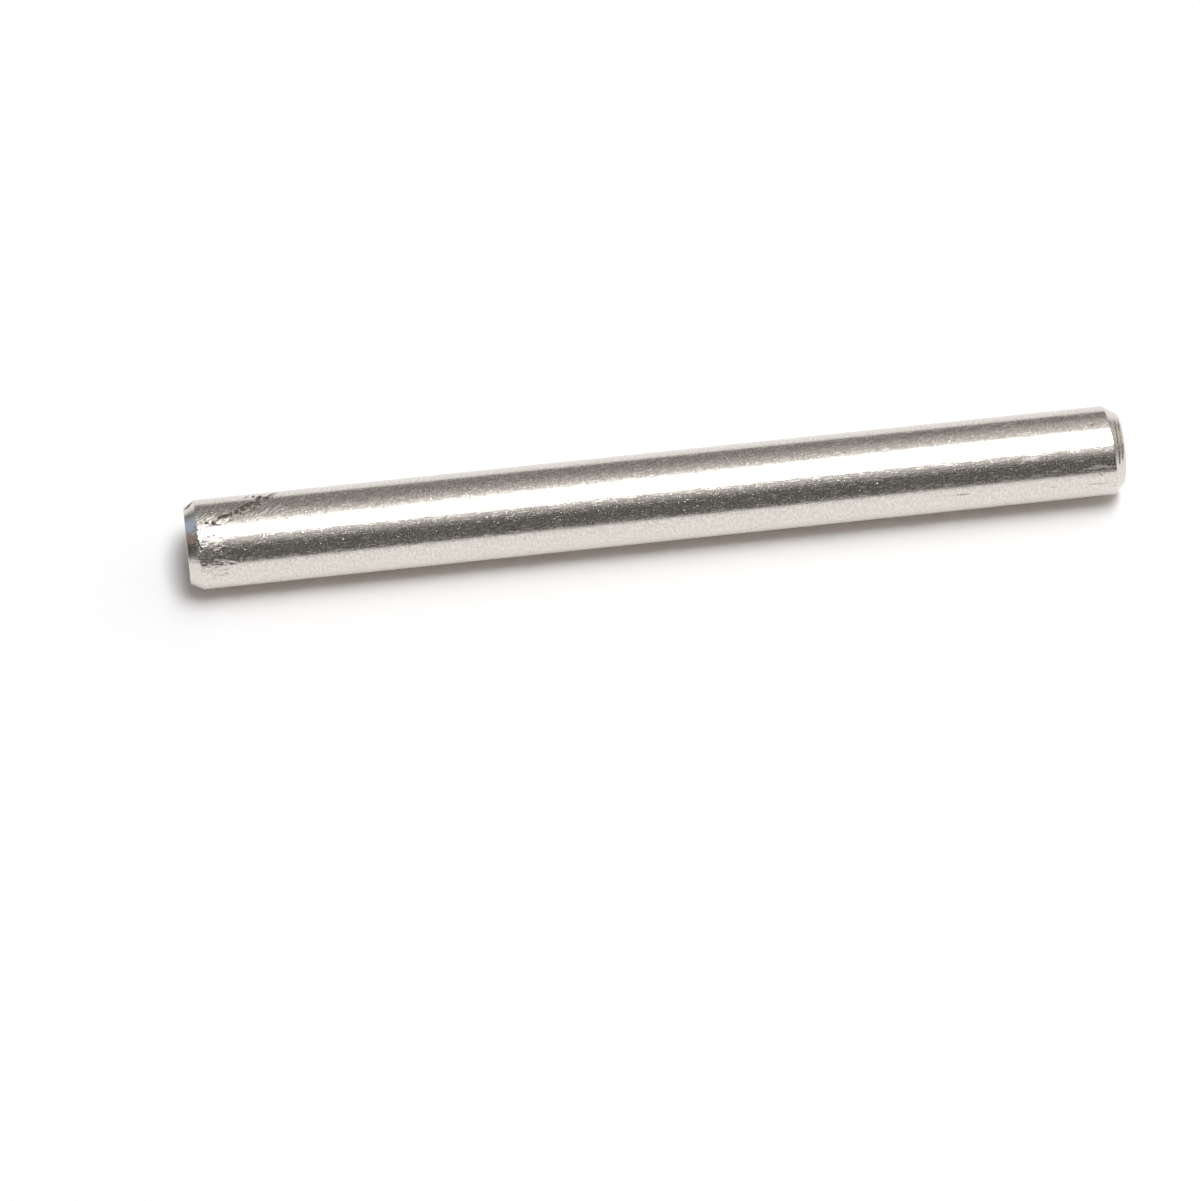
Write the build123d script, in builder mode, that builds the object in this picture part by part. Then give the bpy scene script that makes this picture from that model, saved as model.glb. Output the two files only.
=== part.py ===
"""Brake pedal axle: one plain ground steel pin on which a brake pedal's hub turns.

The pin lies along X with its midpoint at the origin. Both ends carry a turned lead-in cone. The bar sat
slightly out of line while they were cut, so each cone leans from the pin's axis and is wider on one
side. The near end (-X) meets its flat face at a crisp rim, and the far end (+X) at a rounded nose.
Beside the near cone a long diagonal gouge and a short nick scar the shank. Sizes are in millimetres and
angles in degrees.
"""

from build123d import *
from math import cos, radians, sin, tan
import os

# Shank
shank_diameter = 8.0
pin_length = 84.0

# Near cone: the angle of its side to its own axis, how far that axis leans from the pin's as both run
# along +X, the side of the pin (turned from +Y towards +Z) that it leans to, the diameter of the cone at
# the end face, and the radius of the rim
near_cone_angle = 28.5
near_cone_lean = 2.0
near_lean_clock = 95.0
near_face_diameter = 6.8
near_rim_radius = 0.08

# Far cone
far_cone_angle = 37.0
far_cone_lean = 6.0
far_lean_clock = 31.0
far_face_diameter = 6.3
far_nose_radius = 0.55

# How far the section of a cutting tool stands clear of the metal that it leaves
tool_clearance = 1.0

# Gouge: where it starts, from the near end face, its length along the pin, the side of the pin that it
# starts from and how far it turns round, its depth in the middle, and the radius of its bottom
gouge_start = 2.95
gouge_length = 5.3
gouge_clock = 89.0
gouge_turn = -40.0
gouge_depth = 0.11
gouge_bottom_radius = 0.25

# Nick
nick_start = 1.85
nick_length = 1.6
nick_clock = 95.0
nick_turn = 3.0
nick_depth = 0.05
nick_bottom_radius = 0.15


def side_of_pin(clock):
    """The direction from the pin's axis towards one side of it."""
    return Vector(0, cos(radians(clock)), sin(radians(clock)))


def cut_cone(end, angle, lean, lean_clock, face_diameter):
    """Turn the lead-in cone on one end: end is -1 for the near one and 1 for the far one."""
    lean_side = side_of_pin(lean_clock)
    outward = Vector(end * cos(radians(lean)), 0, 0) + lean_side * (end * sin(radians(lean)))
    section_normal = Vector(1, 0, 0).cross(lean_side)
    plane = Plane(origin=(end * pin_length / 2, 0, 0), x_dir=outward, z_dir=section_normal)
    slope = tan(radians(angle))
    face_radius = face_diameter / 2
    outer_radius = shank_diameter / 2 + tool_clearance
    with BuildSketch(plane) as section:
        with BuildLine():
            Polyline(
                (tool_clearance, face_radius - tool_clearance * slope),
                (tool_clearance, outer_radius),
                ((face_radius - outer_radius) / slope, outer_radius),
                close=True,
            )
        make_face()
    revolve(section.sketch, axis=Axis(plane.origin, plane.x_dir), mode=Mode.SUBTRACT)


def cut_scar(start, length, clock, turn, depth, bottom_radius):
    """Scratch the shank: a round tip touches down, runs deepest in the middle and lifts off again."""
    start_x = start - pin_length / 2
    touch_radius = shank_diameter / 2 + bottom_radius
    with BuildLine() as path:
        ThreePointArc(
            Vector(start_x, 0, 0) + side_of_pin(clock) * touch_radius,
            Vector(start_x + length / 2, 0, 0) + side_of_pin(clock + turn / 2) * (touch_radius - depth),
            Vector(start_x + length, 0, 0) + side_of_pin(clock + turn) * touch_radius,
        )
    with BuildSketch(Plane(origin=path.line @ 0, z_dir=path.line % 0)) as tip:
        Circle(bottom_radius)
    sweep(tip.sketch, path=path.line, mode=Mode.SUBTRACT)


with BuildPart() as brake_pedal_axle:
    # Ground shank
    with BuildSketch(Plane.YZ.offset(-pin_length / 2)):
        Circle(shank_diameter / 2)
    extrude(amount=pin_length)

    # Lead-in cones, the near end's crisp rim and the far end's nose
    cut_cone(-1, near_cone_angle, near_cone_lean, near_lean_clock, near_face_diameter)
    cut_cone(1, far_cone_angle, far_cone_lean, far_lean_clock, far_face_diameter)
    fillet(edges().group_by(Axis.X)[0], near_rim_radius)
    fillet(edges().group_by(Axis.X)[-1], far_nose_radius)

    # Scars of use
    cut_scar(gouge_start, gouge_length, gouge_clock, gouge_turn, gouge_depth, gouge_bottom_radius)
    cut_scar(nick_start, nick_length, nick_clock, nick_turn, nick_depth, nick_bottom_radius)

brake_pedal_axle.part.label = "brake_pedal_axle"
os.makedirs("parts", exist_ok=True)
export_step(brake_pedal_axle.part, "parts/brake_pedal_axle.step")
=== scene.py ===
"""The look of the brake pedal axle: one worn ground steel pin with turned end cones, in a white studio."""
from collections import namedtuple
from math import cos, pi, radians, sin, tau

import bpy
import numpy as np
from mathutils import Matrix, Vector


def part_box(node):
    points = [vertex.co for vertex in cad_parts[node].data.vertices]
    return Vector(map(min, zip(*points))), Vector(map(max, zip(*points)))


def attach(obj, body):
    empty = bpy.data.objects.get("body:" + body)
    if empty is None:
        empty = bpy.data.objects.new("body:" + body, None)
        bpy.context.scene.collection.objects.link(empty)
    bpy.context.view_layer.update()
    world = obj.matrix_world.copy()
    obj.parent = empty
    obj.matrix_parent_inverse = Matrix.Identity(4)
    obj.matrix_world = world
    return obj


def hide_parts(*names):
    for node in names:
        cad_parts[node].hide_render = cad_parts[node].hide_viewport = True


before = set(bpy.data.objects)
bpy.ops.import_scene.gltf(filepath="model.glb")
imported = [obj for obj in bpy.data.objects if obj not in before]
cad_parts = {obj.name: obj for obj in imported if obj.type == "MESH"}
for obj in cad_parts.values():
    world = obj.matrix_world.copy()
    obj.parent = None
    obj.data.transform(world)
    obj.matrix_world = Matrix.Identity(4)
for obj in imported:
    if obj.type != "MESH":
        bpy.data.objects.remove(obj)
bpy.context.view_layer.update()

bl_info = {
    "name": "Brake pedal axle",
    "version": (1, 0, 0),
    "blender": (4, 5, 0),
    "location": "3D View > Sidebar > Axle",
    "description": "Builds the worn ground steel pin around its packed frame, and the studio that it lies in",
    "category": "Add Mesh",
}

NODE = "brake_pedal_axle"

PIN_LOW, PIN_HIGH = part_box(NODE)
PIN_LENGTH = PIN_HIGH.x - PIN_LOW.x
SHANK_RADIUS = (PIN_HIGH.y - PIN_LOW.y) / 2
FLOOR_Z = PIN_LOW.z

MM = 0.001
DEGREE = pi / 180

PIN_NAME = NODE + "_finished"
UV_NAME = "length_and_clock"


# ---------------------------------------------------------------- sizes and colours that a user may change


class AxleEnds(bpy.types.PropertyGroup):
    """Sizes of the two turned ends, the same as the frame's."""

    near_angle: bpy.props.FloatProperty(
        name="Near cone angle", description="Angle of the near cone's side to its axis",
        default=radians(28.5), subtype="ANGLE")
    near_lean: bpy.props.FloatProperty(
        name="Near cone lean", description="Lean of the near cone's axis from the pin's",
        default=radians(2), subtype="ANGLE")
    near_lean_clock: bpy.props.FloatProperty(
        name="Near lean side",
        description="Side of the pin, from +Y towards +Z, on which the near cone is steep",
        default=radians(95), subtype="ANGLE")
    near_face_radius: bpy.props.FloatProperty(
        name="Near face radius", description="Radius at which the near cone meets its face",
        default=3.4 * MM, unit="LENGTH", precision=6)
    near_rim_radius: bpy.props.FloatProperty(
        name="Near rim radius", description="Radius of the near face's edge break",
        default=0.08 * MM, unit="LENGTH", precision=6)
    far_angle: bpy.props.FloatProperty(
        name="Far cone angle", description="Angle of the far cone's side to its axis",
        default=radians(37), subtype="ANGLE")
    far_lean: bpy.props.FloatProperty(
        name="Far cone lean", description="Lean of the far cone's axis from the pin's",
        default=radians(6), subtype="ANGLE")
    far_lean_clock: bpy.props.FloatProperty(
        name="Far lean side",
        description="Side of the pin, from +Y towards +Z, on which the far cone is shallow",
        default=radians(31), subtype="ANGLE")
    far_face_radius: bpy.props.FloatProperty(
        name="Far face radius", description="Radius at which the far cone would meet its face",
        default=3.15 * MM, unit="LENGTH", precision=6)
    far_nose_radius: bpy.props.FloatProperty(
        name="Far nose radius", description="Radius of the rounded nose around the far face",
        default=0.55 * MM, unit="LENGTH", precision=6)
    shoulder_radius: bpy.props.FloatProperty(
        name="Shoulder radius", description="Radius of the edge between each cone and the shank",
        default=0.06 * MM, unit="LENGTH", precision=6)


class AxleSteel(bpy.types.PropertyGroup):
    """Colours of the steel and of the dirt, which also paints the far rings' shade."""

    steel: bpy.props.FloatVectorProperty(
        name="Steel", description="Colour of the bright ground steel",
        default=(0.745, 0.695, 0.64), subtype="COLOR", size=3, min=0, max=1)
    # The dirt colour also paints the shade in the far cone's rings
    dirt: bpy.props.FloatVectorProperty(
        name="Dirt", description="Colour of the grime packed into scars",
        default=(0.090, 0.068, 0.050), subtype="COLOR", size=3, min=0, max=1)


class AxleGround(bpy.types.PropertyGroup):
    """Finish of the ground shank."""

    smooth: bpy.props.FloatProperty(
        name="Polish", description="Roughness between the scratches", default=0.11,
        min=0, max=1, subtype="FACTOR")
    scattering: bpy.props.FloatProperty(
        name="Scratches", description="Roughness where the steel is scratched", default=0.43,
        min=0, max=1, subtype="FACTOR")
    along: bpy.props.FloatProperty(
        name="Along", description="Strength of the scratches along the pin", default=0.9, min=0)
    aslant: bpy.props.FloatProperty(
        name="Aslant", description="Strength of the scratches aslant", default=0.5, min=0)
    around: bpy.props.FloatProperty(
        name="Around", description="Strength of the grinding marks around the pin", default=0.3, min=0)
    turn: bpy.props.FloatProperty(
        name="Turn", description="Direction of the tool marks around the pin, from its length",
        default=radians(72), subtype="ANGLE")
    mottle: bpy.props.FloatProperty(
        name="Mottle", description="Strength of the light and dark mottling", default=1.0, min=0)
    spots: bpy.props.FloatProperty(
        name="Spots", description="Height of the sparse bright spots, in reliefs", default=2.2, min=0)
    relief: bpy.props.FloatProperty(
        name="Relief", description="Height of the grain in millimetres", default=0.004, min=0)


class AxleTurned(bpy.types.PropertyGroup):
    """Finish of the turned cones and faces."""

    smooth: bpy.props.FloatProperty(
        name="Polish", description="Roughness between the tool marks", default=0.2,
        min=0, max=1, subtype="FACTOR")
    scattering: bpy.props.FloatProperty(
        name="Marks", description="Roughness in the tool marks", default=0.38,
        min=0, max=1, subtype="FACTOR")
    along: bpy.props.FloatProperty(
        name="Along", description="Strength of the scratches along the pin", default=0.1, min=0)
    aslant: bpy.props.FloatProperty(
        name="Aslant", description="Strength of the scratches aslant", default=0.2, min=0)
    around: bpy.props.FloatProperty(
        name="Around", description="Strength of the tool marks around the pin", default=1.0, min=0)
    turn: bpy.props.FloatProperty(
        name="Turn", description="Direction of the tool marks around the pin, from its length",
        default=radians(90), subtype="ANGLE")
    mottle: bpy.props.FloatProperty(
        name="Mottle", description="Strength of the light and dark mottling", default=0.3, min=0)
    spots: bpy.props.FloatProperty(
        name="Spots", description="Height of the sparse bright spots, in reliefs", default=0.0, min=0)
    relief: bpy.props.FloatProperty(
        name="Relief", description="Height of the grain in millimetres", default=0.004, min=0)


class AxleStudio(bpy.types.PropertyGroup):
    """Floor, light and camera."""

    floor: bpy.props.FloatVectorProperty(
        name="Floor", description="Colour of the floor",
        default=(0.95, 0.96, 0.975), subtype="COLOR", size=3, min=0, max=1)
    floor_glow: bpy.props.FloatVectorProperty(
        name="Floor glow", description="What the floor adds to its lit colour where it is seen",
        default=(0.030, 0.014, 0.002), subtype="COLOR", size=3, min=0, max=1)
    floor_mirrored: bpy.props.FloatProperty(
        name="Floor in the metal", description="How much of its plain colour the floor keeps in the metal",
        default=0.4, min=0, max=1)
    room_back: bpy.props.FloatVectorProperty(
        name="Room behind", description="Colour of the dim room behind the pin",
        default=(0.24, 0.235, 0.228), subtype="COLOR", size=3, min=0, max=1)
    room_front: bpy.props.FloatVectorProperty(
        name="Room in front", description="Colour of the dim room on the camera's side",
        default=(0.112, 0.112, 0.107), subtype="COLOR", size=3, min=0, max=1)
    room_left: bpy.props.FloatVectorProperty(
        name="Wall on the left", description="Colour of the brown wall on the left",
        default=(0.34, 0.24, 0.20), subtype="COLOR", size=3, min=0, max=1)
    window: bpy.props.FloatVectorProperty(
        name="Window", description="Colour of the pale window on the left",
        default=(0.42, 0.52, 0.66), subtype="COLOR", size=3, min=0, max=1)
    room_right: bpy.props.FloatVectorProperty(
        name="Wall on the right", description="Colour of the pale wall on the right",
        default=(0.62, 0.60, 0.57), subtype="COLOR", size=3, min=0, max=1)
    glow_back: bpy.props.FloatProperty(
        name="Glow behind", description="Brightness of the softbox's glow on the far side", default=0.46,
        min=0)
    glow_front: bpy.props.FloatProperty(
        name="Glow in front", description="Brightness of the softbox's glow on the near side",
        default=0.55, min=0)
    key_brightness: bpy.props.FloatProperty(
        name="Softbox brightness", description="How bright the overhead softbox looks, where white is 1",
        default=16.4, min=0)
    view_azimuth: bpy.props.FloatProperty(
        name="View azimuth", description="Direction from which the camera looks; 0 looks along +Y",
        default=radians(-6.99), subtype="ANGLE")
    view_elevation: bpy.props.FloatProperty(
        name="View elevation", description="Height of the camera above the horizon",
        default=radians(59), subtype="ANGLE")
    view_distance: bpy.props.FloatProperty(
        name="View distance", description="Distance from the camera to its aim",
        default=0.5782, unit="LENGTH")
    aim_right: bpy.props.FloatProperty(
        name="Aim right", description="How far the camera aims to the right of the pin's middle",
        default=-4.981 * MM, unit="LENGTH", precision=6)
    aim_up: bpy.props.FloatProperty(
        name="Aim up", description="How far the camera aims above the pin's middle",
        default=-9.225 * MM, unit="LENGTH", precision=6)
    focal_length: bpy.props.FloatProperty(
        name="Focal length", description="Focal length in millimetres of a 36 mm wide picture",
        default=194.34)


# ---------------------------------------------------------------- surface of the pin


Scar = namedtuple("Scar", "x0 clock0 x1 clock1 width depth dirt")
Patch = namedtuple("Patch", "x clock reach_x reach_clock direction length width depth tone seed")
Ring = namedtuple("Ring", "x width depth dirt")

# Scratches and dents, in millimetres from the near face and degrees around the pin from +Y towards +Z:
# both ends of the centre line, width and depth in the middle, and how far dirt fills it, from 0 to 1
GOUGE = (
    Scar(2.80, 89.3, 4.20, 85.2, 0.36, 0.045, 1.0),
    Scar(3.85, 87.3, 5.05, 76.8, 0.46, 0.040, 1.0),
    Scar(4.60, 80.3, 6.15, 69.0, 0.60, 0.060, 1.0),
    Scar(5.40, 74.0, 7.20, 69.0, 0.54, 0.060, 1.0),
    Scar(5.80, 81.5, 6.45, 73.0, 0.44, 0.040, 0.9),
    Scar(6.25, 72.0, 7.35, 48.5, 0.56, 0.045, 0.75),
    Scar(6.90, 67.5, 8.15, 59.0, 0.60, 0.040, 0.75),
    Scar(7.45, 62.5, 8.45, 43.0, 0.44, 0.030, 0.45),
    Scar(4.80, 86.6, 5.45, 81.0, 0.24, 0.020, 0.6),
    Scar(5.45, 57.0, 5.75, 46.5, 0.36, 0.030, 0.8),
    Scar(6.15, 57.5, 6.50, 47.0, 0.36, 0.030, 0.8),
)
NEAR_NICKS = (
    Scar(1.70, 95.5, 2.15, 93.8, 0.20, 0.035, 0.8),
    Scar(2.25, 94.0, 2.75, 97.2, 0.30, 0.045, 1.0),
    Scar(2.40, 98.0, 3.20, 98.5, 0.18, 0.030, 0.7),
    Scar(3.60, 95.3, 4.25, 92.6, 0.20, 0.035, 0.7),
    Scar(3.50, 92.5, 4.60, 88.5, 0.14, 0.018, 0.1),
    Scar(5.20, 86.5, 6.60, 77.0, 0.14, 0.018, 0.0),
    Scar(6.90, 80.0, 7.90, 74.0, 0.16, 0.018, 0.0),
)
FAR_SCRATCHES = (
    Scar(65.9, 160.0, 68.7, 162.0, 0.13, 0.009, 0.30),
    Scar(67.0, 162.0, 70.3, 162.2, 0.13, 0.009, 0.30),
    Scar(76.6, 166.0, 78.0, 166.6, 0.12, 0.008, 0.28),
    Scar(80.0, 166.7, 82.1, 169.2, 0.11, 0.010, 0.40),
    Scar(81.3, 169.2, 83.2, 169.9, 0.11, 0.010, 0.42),
    Scar(82.4, 175.0, 83.2, 178.0, 0.11, 0.008, 0.30),
    Scar(81.3, 150.8, 81.8, 155.5, 0.13, 0.010, 0.50),
    Scar(80.8, 86.6, 81.3, 83.8, 0.18, 0.020, 0.6),
)
CONE_DENTS = (
    Scar(1.00, 41.0, 0.18, 55.0, 0.34, 0.060, 1.0),
    Scar(0.86, 115.0, 1.20, 133.0, 0.26, 0.045, 0.0),
    Scar(0.80, 97.0, 1.05, 103.0, 0.18, 0.030, 0.0),
)
SCARS = GOUGE + NEAR_NICKS + FAR_SCRATCHES + CONE_DENTS

# Rubs, given as the scratches are. They hold no dirt, so the last number is how scuffed they are
RUBS = (
    Scar(79.7, 143.3, 81.9, 143.5, 0.19, 0.022, 0.7),
    Scar(80.6, 140.6, 83.1, 145.4, 0.20, 0.024, 0.7),
    Scar(81.0, 143.6, 82.3, 141.0, 0.18, 0.020, 0.7),
    Scar(76.0, 142.2, 78.3, 141.8, 0.18, 0.020, 0.6),
    Scar(65.0, 142.8, 68.8, 144.6, 0.16, 0.010, 0.4),
    Scar(74.4, 121.5, 76.4, 124.0, 0.40, 0.004, 0.5),
    Scar(73.0, 70.8, 75.0, 72.2, 0.20, 0.022, 0.7),
    Scar(71.3, 71.3, 72.3, 71.6, 0.18, 0.020, 0.6),
    Scar(66.0, 84.0, 66.3, 79.5, 0.20, 0.016, 0.7),
    Scar(65.1, 89.2, 66.2, 86.8, 0.20, 0.010, 0.7),
    Scar(74.9, 89.8, 75.7, 85.8, 0.16, 0.010, 0.6),
    Scar(82.1, 89.8, 82.6, 85.2, 0.16, 0.010, 0.6),
    Scar(67.8, 89.2, 68.4, 85.3, 0.16, 0.010, 0.6),
)

# Turning marks left around the far cone by the tool's last passes: distance from the near face, width,
# depth and how dark they are painted. That dark is painted shade in the dirt's colour, not grime: it lies
# between two clocks only, where the cone mirrors the dim room, and fades towards them
RINGS = (
    Ring(83.30, 0.13, 0.018, 0.75),
    Ring(83.60, 0.12, 0.016, 0.65),
    Ring(83.12, 0.08, 0.009, 0.45),
)
# Clocks between which the far rings are painted with shade, where the cone mirrors the dim room, and its fade
# in degrees
RING_SHADE_FROM, RING_SHADE_TO, RING_SHADE_FADE = 70, 150, 15

# Patches of fine scuffs that all run one way: middle, reach, direction of the scuffs from the pin's
# length towards a growing clock, their length and width, greatest depth, how dark and how dull they
# are from 0 to 1, and random seed
PATCHES = (
    Patch(2.6, 85.0, 2.7, 16.0, -32, 1.2, 0.12, 0.0070, 0.15, 31),
    Patch(6.8, 80.0, 2.3, 13.0, -35, 1.0, 0.12, 0.0060, 0.20, 37),
    Patch(2.3, 147.0, 2.2, 38.0, 8, 0.50, 0.14, 0.0180, 0.28, 41),
    Patch(1.9, 115.0, 1.9, 23.0, -20, 0.50, 0.13, 0.0150, 0.42, 43),
)

# How noise makes a scratch stray from a clean straight one: cells in millimetres, seeds, to which the
# scratch's number is added, and how far it bends the line and changes the width, in shares of the width
WANDER_CELL, RAGGED_CELL, TORN_CELL = 0.5, 0.31, 0.17
WANDER_SEED, RAGGED_SEED, TORN_SEED = 100, 200, 300
WANDER, RAGGEDNESS, TEAR = 0.25, 0.35, 0.25

# A scratch's burr: height in shares of the scratch's depth, and place and breadth in half widths from its
# line. The edges of the dirt and of the thin stain around it, in half widths too, and the stain's strength
BURR_HEIGHT, BURR_PLACE, BURR_BREADTH = 0.08, 1.25, 0.3
DIRT_EDGE, STAIN_EDGE, STAIN = 1.25, 2.3, 0.40

# Scuff patches: cells in millimetres of the noise that bends the scuffs, and how far it bends them in
# shares of their width, strengths of the drawn-out noise and of the finer one across it, and from which
# point of their tables, in cells, the noises are read
BEND_CELL, BEND, BEND_START = 0.5, 0.5, 40
SCUFFS, FINE_SCUFFS, SCUFF_START = 0.75, 0.55, 60

# Patchiness of the dirt and of the rings' painted shade: cells in millimetres along the pin and degrees
# around it, seed and strength
DIRT_CELL, DIRT_CELL_TURN, DIRT_SEED, PATCHINESS = 0.16, 2.4, 7, 0.6

# Cells after which the noise repeats: over its second coordinate for scratches, patches and dirt, and
# over its first for all of them
SCAR_CELLS, PATCH_CELLS, DIRT_CELLS = 64, 128, 150
TABLE_ROWS = 512

# Columns of the mesh around the pin and rings along its shank: where each stretch starts, in degrees and
# in shares of the shank, and how many it has
COLUMNS = (-90, 50), (38, 156), (186, 34)
LAST_COLUMN = 270
SHANK_RINGS = (0, 160), (0.1, 51), (0.86, 85)

# Where each end's rings lie: shares of the flat face's radius, and steps on the nose, cone and shoulder
FACE_SHARES = 0.25, 0.5, 0.72, 0.88, 0.96, 0.995
NOSE_STEPS, CONE_STEPS, SHOULDER_STEPS = 8, 23, 4


def ease(t):
    """Smooth step: 3t^2 - 2t^3 of t held between 0 and 1."""
    t = np.clip(t, 0, 1)
    return t * t * (3 - 2 * t)


def lattice_noise(a, b, closes_at, seed):
    """Smooth noise between -1 and 1 over two coordinates counted in cells: random corner values, blended
    across each cell by the smooth step. The second coordinate repeats after closes_at cells."""
    rng = np.random.default_rng(seed)
    table = rng.uniform(-1, 1, (TABLE_ROWS, closes_at))
    i, j = np.floor(a).astype(int), np.floor(b).astype(int)
    u, v = ease(a - i), ease(b - j)
    i0, i1 = i % TABLE_ROWS, (i + 1) % TABLE_ROWS
    j0, j1 = j % closes_at, (j + 1) % closes_at
    low = table[i0, j0] * (1 - u) + table[i1, j0] * u
    high = table[i0, j1] * (1 - u) + table[i1, j1] * u
    return low * (1 - v) + high * v


def scar_wear(x, clock, scar, number):
    """Depth of one scratch, and how far each point lies within its reach of dirt. Along its centre line
    the depth is that of a tip which touches down and lifts off, the root of 4p(1 - p), and across it
    that of a round bottom, 1 - q^2, with q the distance from the line in half widths. Noise bends the
    line, tears its bottom and makes its width ragged, and the metal pushed out of it stands as a low
    burr along both edges."""
    arc = SHANK_RADIUS / MM * DEGREE
    along_x, along_y = scar.x1 - scar.x0, (scar.clock1 - scar.clock0) * arc
    length = np.hypot(along_x, along_y)
    dx, dy = x - scar.x0, (clock - scar.clock0) * arc
    p = (dx * along_x + dy * along_y) / length**2
    q = (dx * along_y - dy * along_x) / length
    wander = lattice_noise(p * length / WANDER_CELL, np.zeros_like(p), 1, WANDER_SEED + number)
    ragged = lattice_noise(x / RAGGED_CELL, dy / RAGGED_CELL, SCAR_CELLS, RAGGED_SEED + number)
    torn = lattice_noise(x / TORN_CELL, dy / TORN_CELL, SCAR_CELLS, TORN_SEED + number)
    half_width = scar.width / 2 * (1 + RAGGEDNESS * ragged + TEAR * torn)
    q = np.abs(q + WANDER * scar.width * wander) / half_width
    reach = np.sqrt(np.clip(4 * p * (1 - p), 0, 1))
    cut = scar.depth * reach * np.clip(1 - q * q, 0, 1) * (0.75 + 0.5 * torn)
    burr = np.exp(-((q - BURR_PLACE) / BURR_BREADTH) ** 2) * (0.6 + 0.8 * ragged)
    burr = BURR_HEIGHT * scar.depth * reach * burr
    core = ease((DIRT_EDGE - q) / 0.5) * (0.8 + 0.4 * ragged)
    stain = STAIN * ease((STAIN_EDGE - q) / 1.4) * ease(0.6 + torn)
    ends = ease(4 * (np.minimum(p, 1 - p) + 0.08 * torn))
    return np.where(q < 1, cut, -burr), scar.dirt * ends * np.maximum(core, stain)


def patch_wear(x, clock, patch):
    """Depth of a patch of scuffs, how dark its furrows are and how dull its crests. The depth is noise
    drawn out along the scuffs' direction, with finer noise across it, and fades out towards the patch's
    rim, an ellipse."""
    arc = SHANK_RADIUS / MM * DEGREE
    dx, dy = x - patch.x, (clock - patch.clock) * arc
    turn = radians(patch.direction)
    along, across = dx * cos(turn) + dy * sin(turn), dy * cos(turn) - dx * sin(turn)
    bend = BEND * patch.width * lattice_noise(dx / BEND_CELL + BEND_START, dy / BEND_CELL + BEND_START,
                                              PATCH_CELLS, patch.seed)
    u, v = along / patch.length + SCUFF_START, (across + bend) / patch.width + SCUFF_START
    noise = SCUFFS * lattice_noise(u, v, PATCH_CELLS, patch.seed + 1)
    noise = noise + FINE_SCUFFS * lattice_noise(2.2 * u - v, 1.8 * v + u, PATCH_CELLS, patch.seed + 2)
    rim = (dx / patch.reach_x) ** 2 + ((clock - patch.clock) / patch.reach_clock) ** 2
    strength = ease(1.3 * (1 - rim))
    furrow, crest = ease(1.9 * noise - 0.1), ease(-1.9 * noise - 0.3)
    return patch.depth * strength * noise, patch.tone * strength * furrow, strength * crest


def wear(x, clock):
    """Depth of all wear below the turned and ground form in metres, how far each point is filled with
    dirt, which in the far cone's rings is painted shade instead, and how scuffed it is. Where cuts
    overlap, the deepest one holds."""
    x, clock = x / MM, clock / DEGREE
    depth, cuts, burrs, dirt, scuff = (np.zeros_like(x) for _ in range(5))
    for patch in PATCHES:
        scuffs, dark, dull = patch_wear(x, clock, patch)
        depth, dirt, scuff = depth + scuffs, np.maximum(dirt, dark), np.maximum(scuff, dull)
    # The rings' dark is painted shade, put into the dirt mask only between two clocks
    for ring in RINGS:
        groove = np.exp(-((x - ring.x) / (ring.width / 2)) ** 2)
        inside = np.minimum(clock - RING_SHADE_FROM, RING_SHADE_TO - clock)
        painted_shade = ease(inside / RING_SHADE_FADE)
        depth, dirt = depth + ring.depth * groove, np.maximum(dirt, ring.dirt * groove * painted_shade)
    for number, scar in enumerate(SCARS + RUBS):
        cut, filled = scar_wear(x, clock, scar, number)
        cuts, burrs = np.maximum(cuts, cut), np.minimum(burrs, cut)
        if number < len(SCARS):
            dirt = np.maximum(dirt, filled)
        else:
            scuff = np.maximum(scuff, filled)
    patchy = lattice_noise(x / DIRT_CELL, clock / DIRT_CELL_TURN, DIRT_CELLS, DIRT_SEED)
    patchy = 1 + PATCHINESS * patchy
    return (depth + np.where(cuts > 0, cuts, burrs)) * MM, np.clip(dirt * patchy, 0, 1), scuff


def clock_columns():
    """Clocks of the mesh's columns, from the underside all the way around: closer together on the side
    that carries the scars."""
    ends = [start for start, _ in COLUMNS[1:]] + [LAST_COLUMN]
    spans = [np.linspace(start, end, count, endpoint=False) for (start, count), end in zip(COLUMNS, ends)]
    return np.concatenate(spans) * DEGREE


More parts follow.
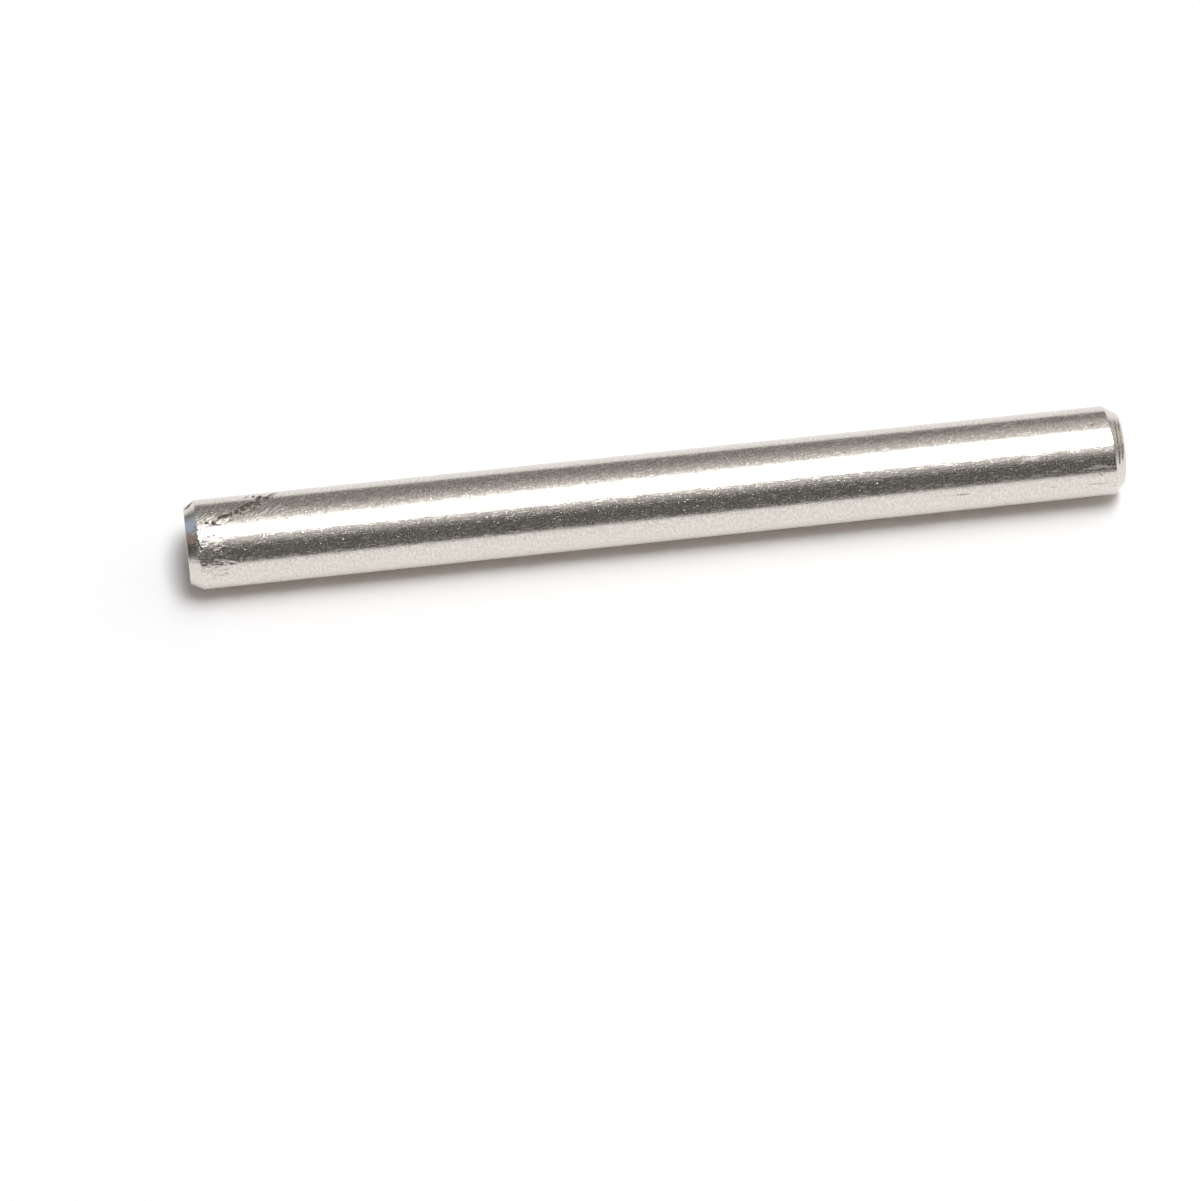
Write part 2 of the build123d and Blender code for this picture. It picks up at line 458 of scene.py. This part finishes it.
def end_profile(clock, lean_clock, angle, lean, corner, nose_radius, shoulder_radius, end):
    """One end's meridians, from the face's centre outwards, as distance from the face and radius for each
    ring and clock. The cone leans, so at the angle c from the lean side its own angle is
    angle - end * lean * cos(c). The nose arc turns from the face's normal to the cone's, and the shoulder
    arc from there to the shank's."""
    angle = angle - end * lean * np.cos(clock - lean_clock)
    slope = np.tan(angle)
    nose_turn = pi / 2 - angle
    face_edge = corner - nose_radius * np.tan(nose_turn / 2)

    def grid(t):
        return np.asarray(t)[:, None] * np.ones_like(clock)

    share = grid(FACE_SHARES)
    face = np.zeros_like(share), face_edge * share

    turn = grid(np.linspace(0, 1, NOSE_STEPS + 1)) * nose_turn
    nose = nose_radius * (1 - np.cos(turn)), face_edge + nose_radius * np.sin(turn)

    shoulder_reach = shoulder_radius * np.tan(angle / 2)
    shoulder_x = (SHANK_RADIUS - corner) / slope
    start_x, start_r = nose[0][-1], nose[1][-1]
    end_x = shoulder_x - shoulder_reach * np.cos(angle)
    end_r = SHANK_RADIUS - shoulder_reach * np.sin(angle)
    step = grid(np.linspace(0, 1, CONE_STEPS + 1)[1:])
    cone = start_x + (end_x - start_x) * step, start_r + (end_r - start_r) * step

    turn = angle * (1 - grid(np.linspace(0, 1, SHOULDER_STEPS + 1)[1:]))
    centre_x = shoulder_x + shoulder_reach
    shoulder = (centre_x - shoulder_radius * np.sin(turn),
                SHANK_RADIUS - shoulder_radius * (1 - np.cos(turn)))
    parts = face, nose, cone, shoulder
    return np.concatenate([p[0] for p in parts]), np.concatenate([p[1] for p in parts])


def shank_stations(near_x, far_x):
    """Rings along the shank between its two end rings: close together beside both ends, where the scars
    are, and wide apart between."""
    ends = [start for start, _ in SHANK_RINGS[1:]] + [1]
    spans = [np.linspace(start, end, count + 1)[1:] for (start, count), end in zip(SHANK_RINGS, ends)]
    share = np.concatenate(spans)[:-1, None]
    return near_x + (far_x - near_x) * share


def pin_grid(ends):
    """Points of the whole pin on a grid of rings and clocks: the two end profiles with the shank between
    them, every radius lessened by the wear. With them come the clocks, the masks of dirt, which holds
    the painted shade of the far cone's rings too, and of scuffing, and the first and last ring from
    which a band of faces belongs to the shank."""
    clock = clock_columns()
    near_a, near_r = end_profile(clock, ends.near_lean_clock, ends.near_angle, ends.near_lean,
                                 ends.near_face_radius, ends.near_rim_radius, ends.shoulder_radius, -1)
    far_a, far_r = end_profile(clock, ends.far_lean_clock, ends.far_angle, ends.far_lean,
                               ends.far_face_radius, ends.far_nose_radius, ends.shoulder_radius, 1)
    near_x, far_x = near_a, PIN_LENGTH - far_a[::-1]
    shank_x = shank_stations(near_x[-1], far_x[0])
    x = np.concatenate([near_x, shank_x, far_x])
    r = np.concatenate([near_r, np.full_like(shank_x, SHANK_RADIUS), far_r[::-1]])
    shank_rings = len(near_x) - 2, len(near_x) + len(shank_x)
    depth, dirt, scuff = wear(x, np.broadcast_to(clock, x.shape))
    r = r - depth
    points = np.stack([PIN_LOW.x + x, r * np.cos(clock), r * np.sin(clock)], axis=-1)
    points = np.clip(points, np.array(PIN_LOW), np.array(PIN_HIGH))
    return points, clock, {"dirt": dirt, "scuff": scuff}, shank_rings


def closed_faces(rings, columns):
    """Corner numbers of the quads between neighbouring rings, closed around the pin, and of the fans of
    triangles that close the two faces at their centres. Vertex 0 and the last one are those centres."""
    i, j = np.meshgrid(np.arange(rings - 1), np.arange(columns), indexing="ij")
    k = (j + 1) % columns
    first = 1
    quads = np.stack([first + i * columns + j, first + i * columns + k,
                      first + (i + 1) * columns + k, first + (i + 1) * columns + j], axis=-1).reshape(-1, 4)
    j = np.arange(columns)
    k = (j + 1) % columns
    last = first + (rings - 1) * columns
    near_fan = np.stack([np.zeros_like(j), first + k, first + j], axis=-1)
    far_fan = np.stack([np.full_like(j, rings * columns + 1), last + j, last + k], axis=-1)
    return quads, near_fan, far_fan


def fill_mesh(name, points, quads, fans):
    """A mesh of those points, quads and triangles, smooth all over."""
    triangles = np.concatenate(fans)
    corners = np.concatenate([quads.ravel(), triangles.ravel()])
    sizes = np.concatenate([np.full(len(quads), 4), np.full(len(triangles), 3)])
    mesh = bpy.data.meshes.new(name)
    mesh.vertices.add(len(points))
    mesh.vertices.foreach_set("co", points.astype(np.float32).ravel())
    mesh.loops.add(len(corners))
    mesh.loops.foreach_set("vertex_index", corners.astype(np.int32))
    mesh.polygons.add(len(sizes))
    mesh.polygons.foreach_set("loop_start", np.concatenate([[0], np.cumsum(sizes)[:-1]]).astype(np.int32))
    mesh.polygons.foreach_set("use_smooth", np.ones(len(sizes), bool))
    mesh.update()
    mesh.validate()
    return mesh


def build_pin_mesh(ends):
    """The pin's mesh and the length of its meridian in millimetres. The mesh has a UV map of the share of
    the way along the meridian and around the pin, and the dirt, with the painted shade of the far cone's
    rings, and the scuffing as point attributes."""
    points, clock, masks, shank_rings = pin_grid(ends)
    rings, columns = points.shape[:2]
    near_centre = np.array([[PIN_LOW.x, 0, 0]])
    far_centre = np.array([[PIN_HIGH.x, 0, 0]])
    quads, near_fan, far_fan = closed_faces(rings, columns)
    vertices = np.concatenate([near_centre, points.reshape(-1, 3), far_centre])
    mesh = fill_mesh(PIN_NAME, vertices, quads, (near_fan, far_fan))

    steps = np.linalg.norm(np.diff(points, axis=0), axis=-1).mean(axis=1)
    start = np.linalg.norm(points[0] - near_centre, axis=-1).mean()
    finish = np.linalg.norm(points[-1] - far_centre, axis=-1).mean()
    travelled = start + np.concatenate([[0], np.cumsum(steps)])
    total = travelled[-1] + finish
    along = np.concatenate([[0], np.repeat(travelled, columns), [total]]) / total
    around = (clock - clock[0]) / tau
    quad_around = np.stack([around, np.append(around[1:], 1), np.append(around[1:], 1), around], axis=-1)
    fan_around = np.stack([around, np.append(around[1:], 1), around], axis=-1)
    far_around = np.stack([around, around, np.append(around[1:], 1)], axis=-1)
    v = np.concatenate([np.tile(quad_around.ravel(), rings - 1), fan_around.ravel(), far_around.ravel()])
    u = along[np.concatenate([quads.ravel(), near_fan.ravel(), far_fan.ravel()])]
    layer = mesh.uv_layers.new(name=UV_NAME)
    layer.uv.foreach_set("vector", np.stack([u, v], axis=-1).astype(np.float32).ravel())

    for label, mask in masks.items():
        attribute = mesh.attributes.new(label, "FLOAT", "POINT")
        attribute.data.foreach_set("value", np.concatenate([[0], mask.ravel(), [0]]).astype(np.float32))

    ring_of_quad = np.arange(len(quads)) // columns
    turned = (ring_of_quad < shank_rings[0]) | (ring_of_quad >= shank_rings[1])
    material = np.concatenate([turned, np.ones(2 * columns, bool)]).astype(np.int32)
    mesh.polygons.foreach_set("material_index", material)
    return mesh, total / MM


# ---------------------------------------------------------------- materials


# Cells of the grain in each millimetre, along the pin and around it where they differ, and between which
# heights of the noise a bright spot, a pit and the mottling's full range lie
SPECKLE_DENSITY, SPOT_DENSITY = 10.0, 6.5
MOTTLE_DENSITY = 5.0, 2.2, 0.0
SPOT_CREST, PIT_CREST, MOTTLE_RANGE = (0.73, 0.84), (0.52, 0.72), (0.3, 0.7)

# How much a pit adds to the wear, and the least wear that roughens the steel
PIT_WEAR, LEAST_WEAR = 0.8, 0.05

# A scratch rises where the noise passes CREST_START less CREST_SHARE times its share, up to CREST_TOP
CREST_START, CREST_SHARE, CREST_TOP = 0.72, 0.4, 0.75

# What full scuffing adds to the wear, to the scratches' height, which is GLINTS without it, and to the tone
SCUFF_ROUGHNESS, SCUFF_GLINTS, SCUFF_TONE = 0.9, 2.0, 0.4
GLINTS = 0.5

# The steel's darkest and lightest tone, and how thick grime, and the painted shade of the far rings, shows:
# # between which amounts it covers the metal, and how metallic and how rough it is there
DARK_TONE, LIGHT_TONE = 0.86, 1.14
DIRT_THIN, DIRT_THICK = 0.10, 0.65
DIRT_METALLIC, DIRT_ROUGHNESS = 0.1, 0.75


def put(tree, kind, inputs=None, **settings):
    """Add a node. Each of the inputs, by name or number, gets a value or the output that feeds it."""
    node = tree.nodes.new("ShaderNode" + kind)
    for name, value in settings.items():
        setattr(node, name, value)
    for key, value in (inputs or {}).items():
        if isinstance(value, bpy.types.NodeSocket):
            tree.links.new(value, node.inputs[key])
        else:
            node.inputs[key].default_value = value
    return node


def scaled(tree, a, b):
    """The output of one number times another."""
    return put(tree, "Math", {0: a, 1: b}, operation="MULTIPLY").outputs[0]


def summed(tree, a, b):
    """The output of one number plus another."""
    return put(tree, "Math", {0: a, 1: b}, operation="ADD").outputs[0]


def remapped(tree, value, low, high, to_low, to_high):
    """A number smoothly carried from one range to another, and held within it."""
    return put(tree, "MapRange", {"Value": value, 1: low, 2: high, 3: to_low, 4: to_high},
               interpolation_type="SMOOTHSTEP").outputs[0]


def start_group(name, inputs, outputs):
    """A shader node group with named inputs, each with its default, and named outputs."""
    tree = bpy.data.node_groups.new(name, "ShaderNodeTree")
    for label, kind, value in inputs:
        socket = tree.interface.new_socket(label, in_out="INPUT", socket_type="NodeSocket" + kind)
        if value is not None:
            socket.default_value = value
    for label, kind in outputs:
        tree.interface.new_socket(label, in_out="OUTPUT", socket_type="NodeSocket" + kind)
    return tree, tree.nodes.new("NodeGroupInput").outputs, tree.nodes.new("NodeGroupOutput").inputs


def flat_noise(tree, place, density, detail, roughness):
    """Noise over the first two coordinates of a place, in so many cells a unit."""
    return put(tree, "TexNoise", {"Vector": place, "Scale": density, "Detail": detail,
                                  "Roughness": roughness}, noise_dimensions="2D").outputs["Fac"]


def scratches_group():
    """Fine scratches that all run one way: noise on the unrolled surface, turned to their direction and
    drawn out along it, and cut off so that only its crests are left."""
    tree, given, result = start_group(
        "fine_scratches",
        [("Surface", "Vector", None), ("Direction", "Float", 0.0), ("Length", "Float", 1.0),
         ("Width", "Float", 0.1), ("Share", "Float", 0.4)],
        [("Mask", "Float")])
    turned = put(tree, "VectorRotate", {"Vector": given["Surface"], "Angle": given["Direction"]},
                 rotation_type="Z_AXIS")
    size = put(tree, "CombineXYZ", {"X": given["Length"], "Y": given["Width"], "Z": 1.0})
    cells = put(tree, "VectorMath", {0: turned.outputs[0], 1: size.outputs[0]}, operation="DIVIDE")
    noise = flat_noise(tree, cells.outputs[0], 1.0, detail=2.0, roughness=0.6)
    crest = put(tree, "Math", {0: CREST_START, 1: scaled(tree, given["Share"], CREST_SHARE)},
                operation="SUBTRACT")
    mask = put(tree, "MapRange", {"Value": noise, 1: crest.outputs[0], 2: CREST_TOP})
    tree.links.new(mask.outputs[0], result["Mask"])
    return tree


def grain_group(scratches):
    """The worn skin of the steel. Scratches along the pin, aslant and around it lie over speckle: their
    height makes glints, and they scatter light more widely than the polished metal between them."""
    tree, given, result = start_group(
        "worn_grain",
        [("Surface", "Vector", None), ("Smooth", "Float", 0.15), ("Scattering", "Float", 0.45),
         ("Along", "Float", 0.8), ("Aslant", "Float", 0.8), ("Around", "Float", 0.3),
         ("Turn", "Float", 1.5), ("Mottle", "Float", 1.0), ("Spots", "Float", 0.0),
         ("Scuff", "Float", 0.0)],
        [("Roughness", "Float"), ("Height", "Float"), ("Tone", "Float")])

    def layer(amount, direction, length, width, share):
        group = put(tree, "Group", {"Surface": given["Surface"], "Direction": direction, "Length": length,
                                    "Width": width, "Share": share}, node_tree=scratches)
        return scaled(tree, group.outputs["Mask"], given[amount])

    along = layer("Along", radians(2), length=1.3, width=0.06, share=0.33)
    aslant = layer("Aslant", radians(50), length=0.5, width=0.07, share=0.35)
    around = layer("Around", given["Turn"], length=0.6, width=0.05, share=0.40)
    marks = summed(tree, summed(tree, along, aslant), around)
    speckle = flat_noise(tree, given["Surface"], SPECKLE_DENSITY, detail=2.0, roughness=0.8)

    pits = remapped(tree, speckle, *PIT_CREST, 0.0, PIT_WEAR)
    scuffing = scaled(tree, given["Scuff"], SCUFF_ROUGHNESS)
    worn = summed(tree, summed(tree, marks, pits), scuffing)
    rough = put(tree, "MapRange", {"Value": worn, 1: LEAST_WEAR, 2: 1.0, 3: given["Smooth"],
                                   4: given["Scattering"]})
    tree.links.new(rough.outputs[0], result["Roughness"])

    scuffed = summed(tree, scaled(tree, given["Scuff"], SCUFF_GLINTS), GLINTS)
    spots = flat_noise(tree, given["Surface"], SPOT_DENSITY, detail=0.0, roughness=0.5)
    spots = remapped(tree, spots, *SPOT_CREST, 0.0, 1.0)
    relief = summed(tree, speckle, scaled(tree, marks, scuffed))
    relief = summed(tree, relief, scaled(tree, spots, given["Spots"]))
    tree.links.new(relief, result["Height"])

    cells = put(tree, "VectorMath", {0: given["Surface"], 1: MOTTLE_DENSITY}, operation="MULTIPLY")
    mottle = flat_noise(tree, cells.outputs[0], 1.0, detail=3.0, roughness=0.7)
    mottle = put(tree, "MapRange", {"Value": mottle, 1: MOTTLE_RANGE[0], 2: MOTTLE_RANGE[1], 3: -0.5,
                                    4: 0.5}).outputs[0]
    tone = summed(tree, scaled(tree, mottle, given["Mottle"]), 0.5)
    tone = summed(tree, tone, scaled(tree, given["Scuff"], SCUFF_TONE))
    tree.links.new(tone, result["Tone"])
    return tree


def dirt_group():
    """Grime in the scars, and painted shade in the far cone's rings: it hides the metal where it is thick,
    and is dull and dark.
    """
    tree, given, result = start_group(
        "packed_dirt",
        [("Amount", "Float", 0.0), ("Steel", "Color", None), ("Grime", "Color", None),
         ("Roughness", "Float", 0.2)],
        [("Color", "Color"), ("Metallic", "Float"), ("Roughness", "Float")])
    cover = remapped(tree, given["Amount"], DIRT_THIN, DIRT_THICK, 0.0, 1.0)
    colour = put(tree, "Mix", {"Factor": cover, 6: given["Steel"], 7: given["Grime"]}, data_type="RGBA")
    tree.links.new(colour.outputs[2], result["Color"])
    tree.links.new(remapped(tree, cover, 0.0, 1.0, 1.0, DIRT_METALLIC), result["Metallic"])
    rough = put(tree, "MapRange", {"Value": cover, 3: given["Roughness"], 4: DIRT_ROUGHNESS})
    tree.links.new(rough.outputs[0], result["Roughness"])
    return tree


def unrolled_surface(tree, span):
    """The piece's own map as millimetres along the pin and around it."""
    chart = put(tree, "UVMap", uv_map=UV_NAME)
    spread = put(tree, "VectorMath", {0: chart.outputs[0], 1: (span, SHANK_RADIUS * tau / MM, 0)},
                 operation="MULTIPLY")
    return spread.outputs[0]


def steel_material(name, steel, finish, groups, span):
    """Worn bright steel: grain gives its roughness and glints, dirt covers it in the scars, and painted shade
    in the dirt's colour darkens the far cone's rings.
    """
    grain, dirt = groups
    material = bpy.data.materials.new(name)
    material.use_nodes = True
    tree = material.node_tree
    shader = tree.nodes["Principled BSDF"]
    labels = "Smooth", "Scattering", "Along", "Aslant", "Around", "Turn", "Mottle", "Spots"
    skin = put(tree, "Group", {
        "Surface": unrolled_surface(tree, span),
        "Scuff": put(tree, "Attribute", attribute_name="scuff").outputs["Fac"],
        **{label: getattr(finish, label.lower()) for label in labels},
    }, node_tree=grain)
    dark, light = ([share * c for c in steel.steel] + [1] for share in (DARK_TONE, LIGHT_TONE))
    tone = put(tree, "Mix", {"Factor": skin.outputs["Tone"], 6: dark, 7: light}, data_type="RGBA")
    # The dirt mask carries the far rings' painted shade as well
    cover = put(tree, "Group", {
        "Amount": put(tree, "Attribute", attribute_name="dirt").outputs["Fac"],
        "Steel": tone.outputs[2],
        "Grime": (*steel.dirt, 1),
        "Roughness": skin.outputs["Roughness"],
    }, node_tree=dirt)
    bump = put(tree, "Bump", {"Height": skin.outputs["Height"], "Strength": 1.0,
                              "Distance": finish.relief * MM})
    tree.links.new(cover.outputs["Color"], shader.inputs["Base Color"])
    tree.links.new(cover.outputs["Metallic"], shader.inputs["Metallic"])
    tree.links.new(cover.outputs["Roughness"], shader.inputs["Roughness"])
    tree.links.new(bump.outputs[0], shader.inputs["Normal"])
    return material


# ---------------------------------------------------------------- pin


class AXLE_OT_pin(bpy.types.Operator):
    """Build the finished pin and let it stand for the frame's plain one"""

    bl_idname = "axle.pin"
    bl_label = "Finished pin"

    def execute(self, context):
        scene = context.scene
        steel = scene.axle_steel
        mesh, span = build_pin_mesh(scene.axle_ends)
        pin = bpy.data.objects.new(PIN_NAME, mesh)
        groups = grain_group(scratches_group()), dirt_group()
        mesh.materials.append(steel_material("shank_steel", steel, scene.axle_ground, groups, span))
        mesh.materials.append(steel_material("turned_steel", steel, scene.axle_turned, groups, span))
        scene.collection.objects.link(pin)
        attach(pin, "root")
        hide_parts(NODE)
        return {"FINISHED"}


# ---------------------------------------------------------------- studio


FLOOR_RADIUS, FLOOR_SIDES = 3.0, 64

# Softbox: size and place of its middle in metres, share of its size over which its edges fade, shares of
# its width and depth that its masked corner takes, and how bright its back is beside its front, which it
# reaches at a share of its depth
SOFTBOX_SIZE = 0.40, 0.808
SOFTBOX_PLACE = 0.14, 0.097, 1.0
SOFTBOX_FADE = 0.10
SOFTBOX_CORNER = 0.585, 0.731
SOFTBOX_BACK, SOFTBOX_FULL_FROM = 0.25, 0.8

# Camera: width of the picture in millimetres, and between which distances in metres it sees
SENSOR_WIDTH = 36
CLIP_NEAR, CLIP_FAR = 0.01, 10

# Room. The softbox's glow fades between two ratios of how far a direction leans back, or forwards, to how
# high it rises, on the back along a slanted line, and it starts between two heights. LOWEST keeps those
# ratios finite. The colours of the front and the back meet across the middle, and the left is dimmer
LOWEST = 0.02
GLOW_SLANT = -4.0
GLOW_BACK_FADE, GLOW_FRONT_FADE = (0.0, 1.05), (-1.15, -0.25)
GLOW_HEIGHT = 0.3, 0.5
WALLS_MEET = -0.3, 0.3
DIM_LEFT, DIM_SHARE = (-0.6, -0.3), 0.75

# Small patches of the room, which mainly the end cones mirror: direction, and the cosine of the angle from
# it at which the patch starts. PATCH_FADE further in it has its full colour
BROWN_WALL = (-0.855, -0.01, 0.515), 0.972
PALE_WINDOW = (-0.765, 0.46, 0.45), 0.947
PALE_WALL = (0.92, 0.33, 0.22), 0.955
PATCH_FADE = 0.014


def floor_material(studio):
    """Matt white that is a little brighter to the eye and in the metal than the light alone makes it, and
    keeps its shadows. In the metal a part of it is its plain colour, unshaded. A ray that comes from the
    floor by way of the metal doesn't meet that part, so the shadow under the pin stays dark."""
    material = bpy.data.materials.new("studio_floor")
    material.use_nodes = True
    tree = material.node_tree
    shader = tree.nodes["Principled BSDF"]
    shader.inputs["Base Color"].default_value = (*studio.floor, 1)
    shader.inputs["Roughness"].default_value = 1.0
    shader.inputs["Specular IOR Level"].default_value = 0.0
    shader.inputs["Emission Color"].default_value = (*studio.floor_glow, 1)
    ray = put(tree, "LightPath").outputs
    seen = put(tree, "Math", {0: ray["Is Camera Ray"], 1: ray["Is Glossy Ray"]}, operation="MAXIMUM")
    tree.links.new(seen.outputs[0], shader.inputs["Emission Strength"])
    pale = put(tree, "Emission", {"Color": (*studio.floor, 1)})
    direct = put(tree, "Math", {0: ray["Diffuse Depth"], 1: 0.5}, operation="LESS_THAN").outputs[0]
    mirrored = scaled(tree, scaled(tree, ray["Is Glossy Ray"], direct), studio.floor_mirrored)
    mix = put(tree, "MixShader", {0: mirrored, 1: shader.outputs[0], 2: pale.outputs[0]})
    tree.links.new(mix.outputs[0], tree.nodes["Material Output"].inputs["Surface"])
    return material


def add_floor(studio):
    """A wide round floor that the pin lies on."""
    ring = np.linspace(0, tau, FLOOR_SIDES, endpoint=False)
    x, y = FLOOR_RADIUS * np.cos(ring), FLOOR_RADIUS * np.sin(ring)
    points = np.stack([x, y, np.full_like(ring, FLOOR_Z)], axis=-1)
    mesh = bpy.data.meshes.new("studio_floor")
    mesh.from_pydata(points.tolist(), [], [list(range(FLOOR_SIDES))])
    mesh.materials.append(floor_material(studio))
    floor = bpy.data.objects.new("studio_floor", mesh)
    bpy.context.scene.collection.objects.link(floor)


def add_softbox(brightness):
    """A level softbox facing down, soft at its edges and brightest in front. A mask takes off its back
    left corner, outside the line where the shares of the way in from the left and from the back, each over
    that of the corner, add up to one. Its power is brightness times pi times its area."""
    lamp = bpy.data.lights.new("key_softbox", "AREA")
    lamp.shape = "RECTANGLE"
    lamp.size, lamp.size_y = SOFTBOX_SIZE
    lamp.energy = brightness * pi * lamp.size * lamp.size_y
    lamp.use_nodes = True
    tree = lamp.node_tree
    place = put(tree, "SeparateXYZ", {0: put(tree, "NewGeometry").outputs["Parametric"]}).outputs
    from_back = put(tree, "Math", {0: 1.0, 1: place["Y"]}, operation="SUBTRACT").outputs[0]
    inwards = summed(tree, scaled(tree, place["X"], 1 / SOFTBOX_CORNER[0]),
                     scaled(tree, from_back, 1 / SOFTBOX_CORNER[1]))
    strength = scaled(tree, remapped(tree, inwards, 1.0, 1.0 + 3 * SOFTBOX_FADE, 0.0, 1.0),
                      remapped(tree, from_back, 0.0, SOFTBOX_FULL_FROM, SOFTBOX_BACK, 1.0))
    for axis in ("X", "Y"):
        off = put(tree, "Math", {0: place[axis], 1: 0.5}, operation="SUBTRACT").outputs[0]
        off = put(tree, "Math", {0: off}, operation="ABSOLUTE").outputs[0]
        strength = scaled(tree, strength, remapped(tree, off, 0.5 - SOFTBOX_FADE, 0.5, 1.0, 0.0))
    tree.links.new(strength, tree.nodes["Emission"].inputs["Strength"])
    holder = bpy.data.objects.new("key_softbox", lamp)
    holder.location = SOFTBOX_PLACE
    bpy.context.scene.collection.objects.link(holder)


def add_camera(studio):
    """A camera at the view's azimuth, elevation and distance, moved sideways and upwards with its aim."""
    a, e = studio.view_azimuth, studio.view_elevation
    out = Vector((sin(a) * cos(e), -cos(a) * cos(e), sin(e)))
    right = Vector((cos(a), sin(a), 0))
    up = out.cross(right)
    data = bpy.data.cameras.new("studio_camera")
    data.sensor_fit = "HORIZONTAL"
    data.sensor_width = SENSOR_WIDTH
    data.lens = studio.focal_length
    data.clip_start, data.clip_end = CLIP_NEAR, CLIP_FAR
    camera = bpy.data.objects.new("studio_camera", data)
    camera.location = right * studio.aim_right + up * studio.aim_up + out * studio.view_distance
    camera.rotation_euler = out.to_track_quat("Z", "Y").to_euler()
    bpy.context.scene.collection.objects.link(camera)
    bpy.context.scene.camera = camera


def set_world(studio):
    """A dim room around the softbox, darker on the camera's side and at the left, with the glow of the
    softbox around it and small patches of brown wall, pale blue window and pale wall, and plain white
    behind it all for the camera."""
    world = bpy.data.worlds.new("studio_room")
    world.use_nodes = True
    tree = world.node_tree
    tree.nodes.clear()
    direction = put(tree, "TexCoord").outputs["Generated"]
    axes = put(tree, "SeparateXYZ", {0: direction}).outputs

    height = put(tree, "Math", {0: axes["Z"], 1: LOWEST}, operation="MAXIMUM").outputs[0]
    across = put(tree, "Math", {0: axes["Y"], 1: height}, operation="DIVIDE").outputs[0]
    sideways = put(tree, "Math", {0: axes["X"], 1: height}, operation="DIVIDE").outputs[0]
    slanted = summed(tree, across, scaled(tree, sideways, GLOW_SLANT))
    behind = remapped(tree, slanted, *GLOW_BACK_FADE, studio.glow_back, 0.0)
    before = remapped(tree, across, *GLOW_FRONT_FADE, 0.0, studio.glow_front)
    glow = put(tree, "Math", {0: behind, 1: before}, operation="MINIMUM").outputs[0]
    glow = scaled(tree, glow, remapped(tree, axes["Z"], *GLOW_HEIGHT, 0.0, 1.0))

    back = remapped(tree, axes["Y"], *WALLS_MEET, 0.0, 1.0)
    room = put(tree, "Mix", {"Factor": back, 6: (*studio.room_front, 1), 7: (*studio.room_back, 1)},
               data_type="RGBA").outputs[2]
    left = remapped(tree, axes["X"], *DIM_LEFT, 1.0, 0.0)
    dimmed = remapped(tree, left, 0.0, 1.0, 1.0, DIM_SHARE)
    room = put(tree, "VectorMath", {0: room, "Scale": dimmed}, operation="SCALE").outputs[0]
    patches = (BROWN_WALL, studio.room_left), (PALE_WINDOW, studio.window), (PALE_WALL, studio.room_right)
    for (centre, reach), colour in patches:
        near = put(tree, "VectorMath", {0: direction, 1: centre}, operation="DOT_PRODUCT").outputs["Value"]
        patch = remapped(tree, near, reach, reach + PATCH_FADE, 0.0, 1.0)
        room = put(tree, "Mix", {"Factor": patch, 6: room, 7: (*colour, 1)}, data_type="RGBA").outputs[2]

    lit = put(tree, "VectorMath", {0: room, 1: glow}, operation="ADD").outputs[0]
    around = put(tree, "Background", {"Color": lit})
    white = put(tree, "Background", {"Color": (1, 1, 1, 1)})
    eye = put(tree, "LightPath").outputs["Is Camera Ray"]
    mix = put(tree, "MixShader", {0: eye, 1: around.outputs[0], 2: white.outputs[0]})
    put(tree, "OutputWorld", {0: mix.outputs[0]})
    bpy.context.scene.world = world


class AXLE_OT_studio(bpy.types.Operator):
    """Set up the floor, the softbox, the room and the camera"""

    bl_idname = "axle.studio"
    bl_label = "Studio"

    def execute(self, context):
        studio = context.scene.axle_studio
        add_floor(studio)
        add_softbox(studio.key_brightness)
        set_world(studio)
        add_camera(studio)
        context.scene.view_settings.view_transform = "Standard"
        return {"FINISHED"}


class AXLE_PT_sidebar(bpy.types.Panel):
    """Sizes, finish and studio of the axle"""

    bl_idname = "AXLE_PT_sidebar"
    bl_label = "Brake pedal axle"
    bl_space_type = "VIEW_3D"
    bl_region_type = "UI"
    bl_category = "Axle"

    def draw(self, context):
        for title, group, operator in (
            ("Pin", context.scene.axle_ends, "axle.pin"),
            ("Steel", context.scene.axle_steel, None),
            ("Ground shank", context.scene.axle_ground, None),
            ("Turned ends", context.scene.axle_turned, None),
            ("Studio", context.scene.axle_studio, "axle.studio"),
        ):
            box = self.layout.box()
            box.label(text=title)
            for name in group.__annotations__:
                box.prop(group, name)
            if operator:
                box.operator(operator)


CLASSES = (
    AxleEnds, AxleSteel, AxleGround, AxleTurned, AxleStudio, AXLE_OT_pin, AXLE_OT_studio, AXLE_PT_sidebar,
)


def register():
    for cls in CLASSES:
        bpy.utils.register_class(cls)
    bpy.types.Scene.axle_ends = bpy.props.PointerProperty(type=AxleEnds)
    bpy.types.Scene.axle_steel = bpy.props.PointerProperty(type=AxleSteel)
    bpy.types.Scene.axle_ground = bpy.props.PointerProperty(type=AxleGround)
    bpy.types.Scene.axle_turned = bpy.props.PointerProperty(type=AxleTurned)
    bpy.types.Scene.axle_studio = bpy.props.PointerProperty(type=AxleStudio)


def unregister():
    del bpy.types.Scene.axle_studio
    del bpy.types.Scene.axle_turned
    del bpy.types.Scene.axle_ground
    del bpy.types.Scene.axle_steel
    del bpy.types.Scene.axle_ends
    for cls in reversed(CLASSES):
        bpy.utils.unregister_class(cls)


def main():
    """Build everything."""
    register()
    bpy.ops.axle.pin()
    bpy.ops.axle.studio()


if __name__ == "__main__":
    main()
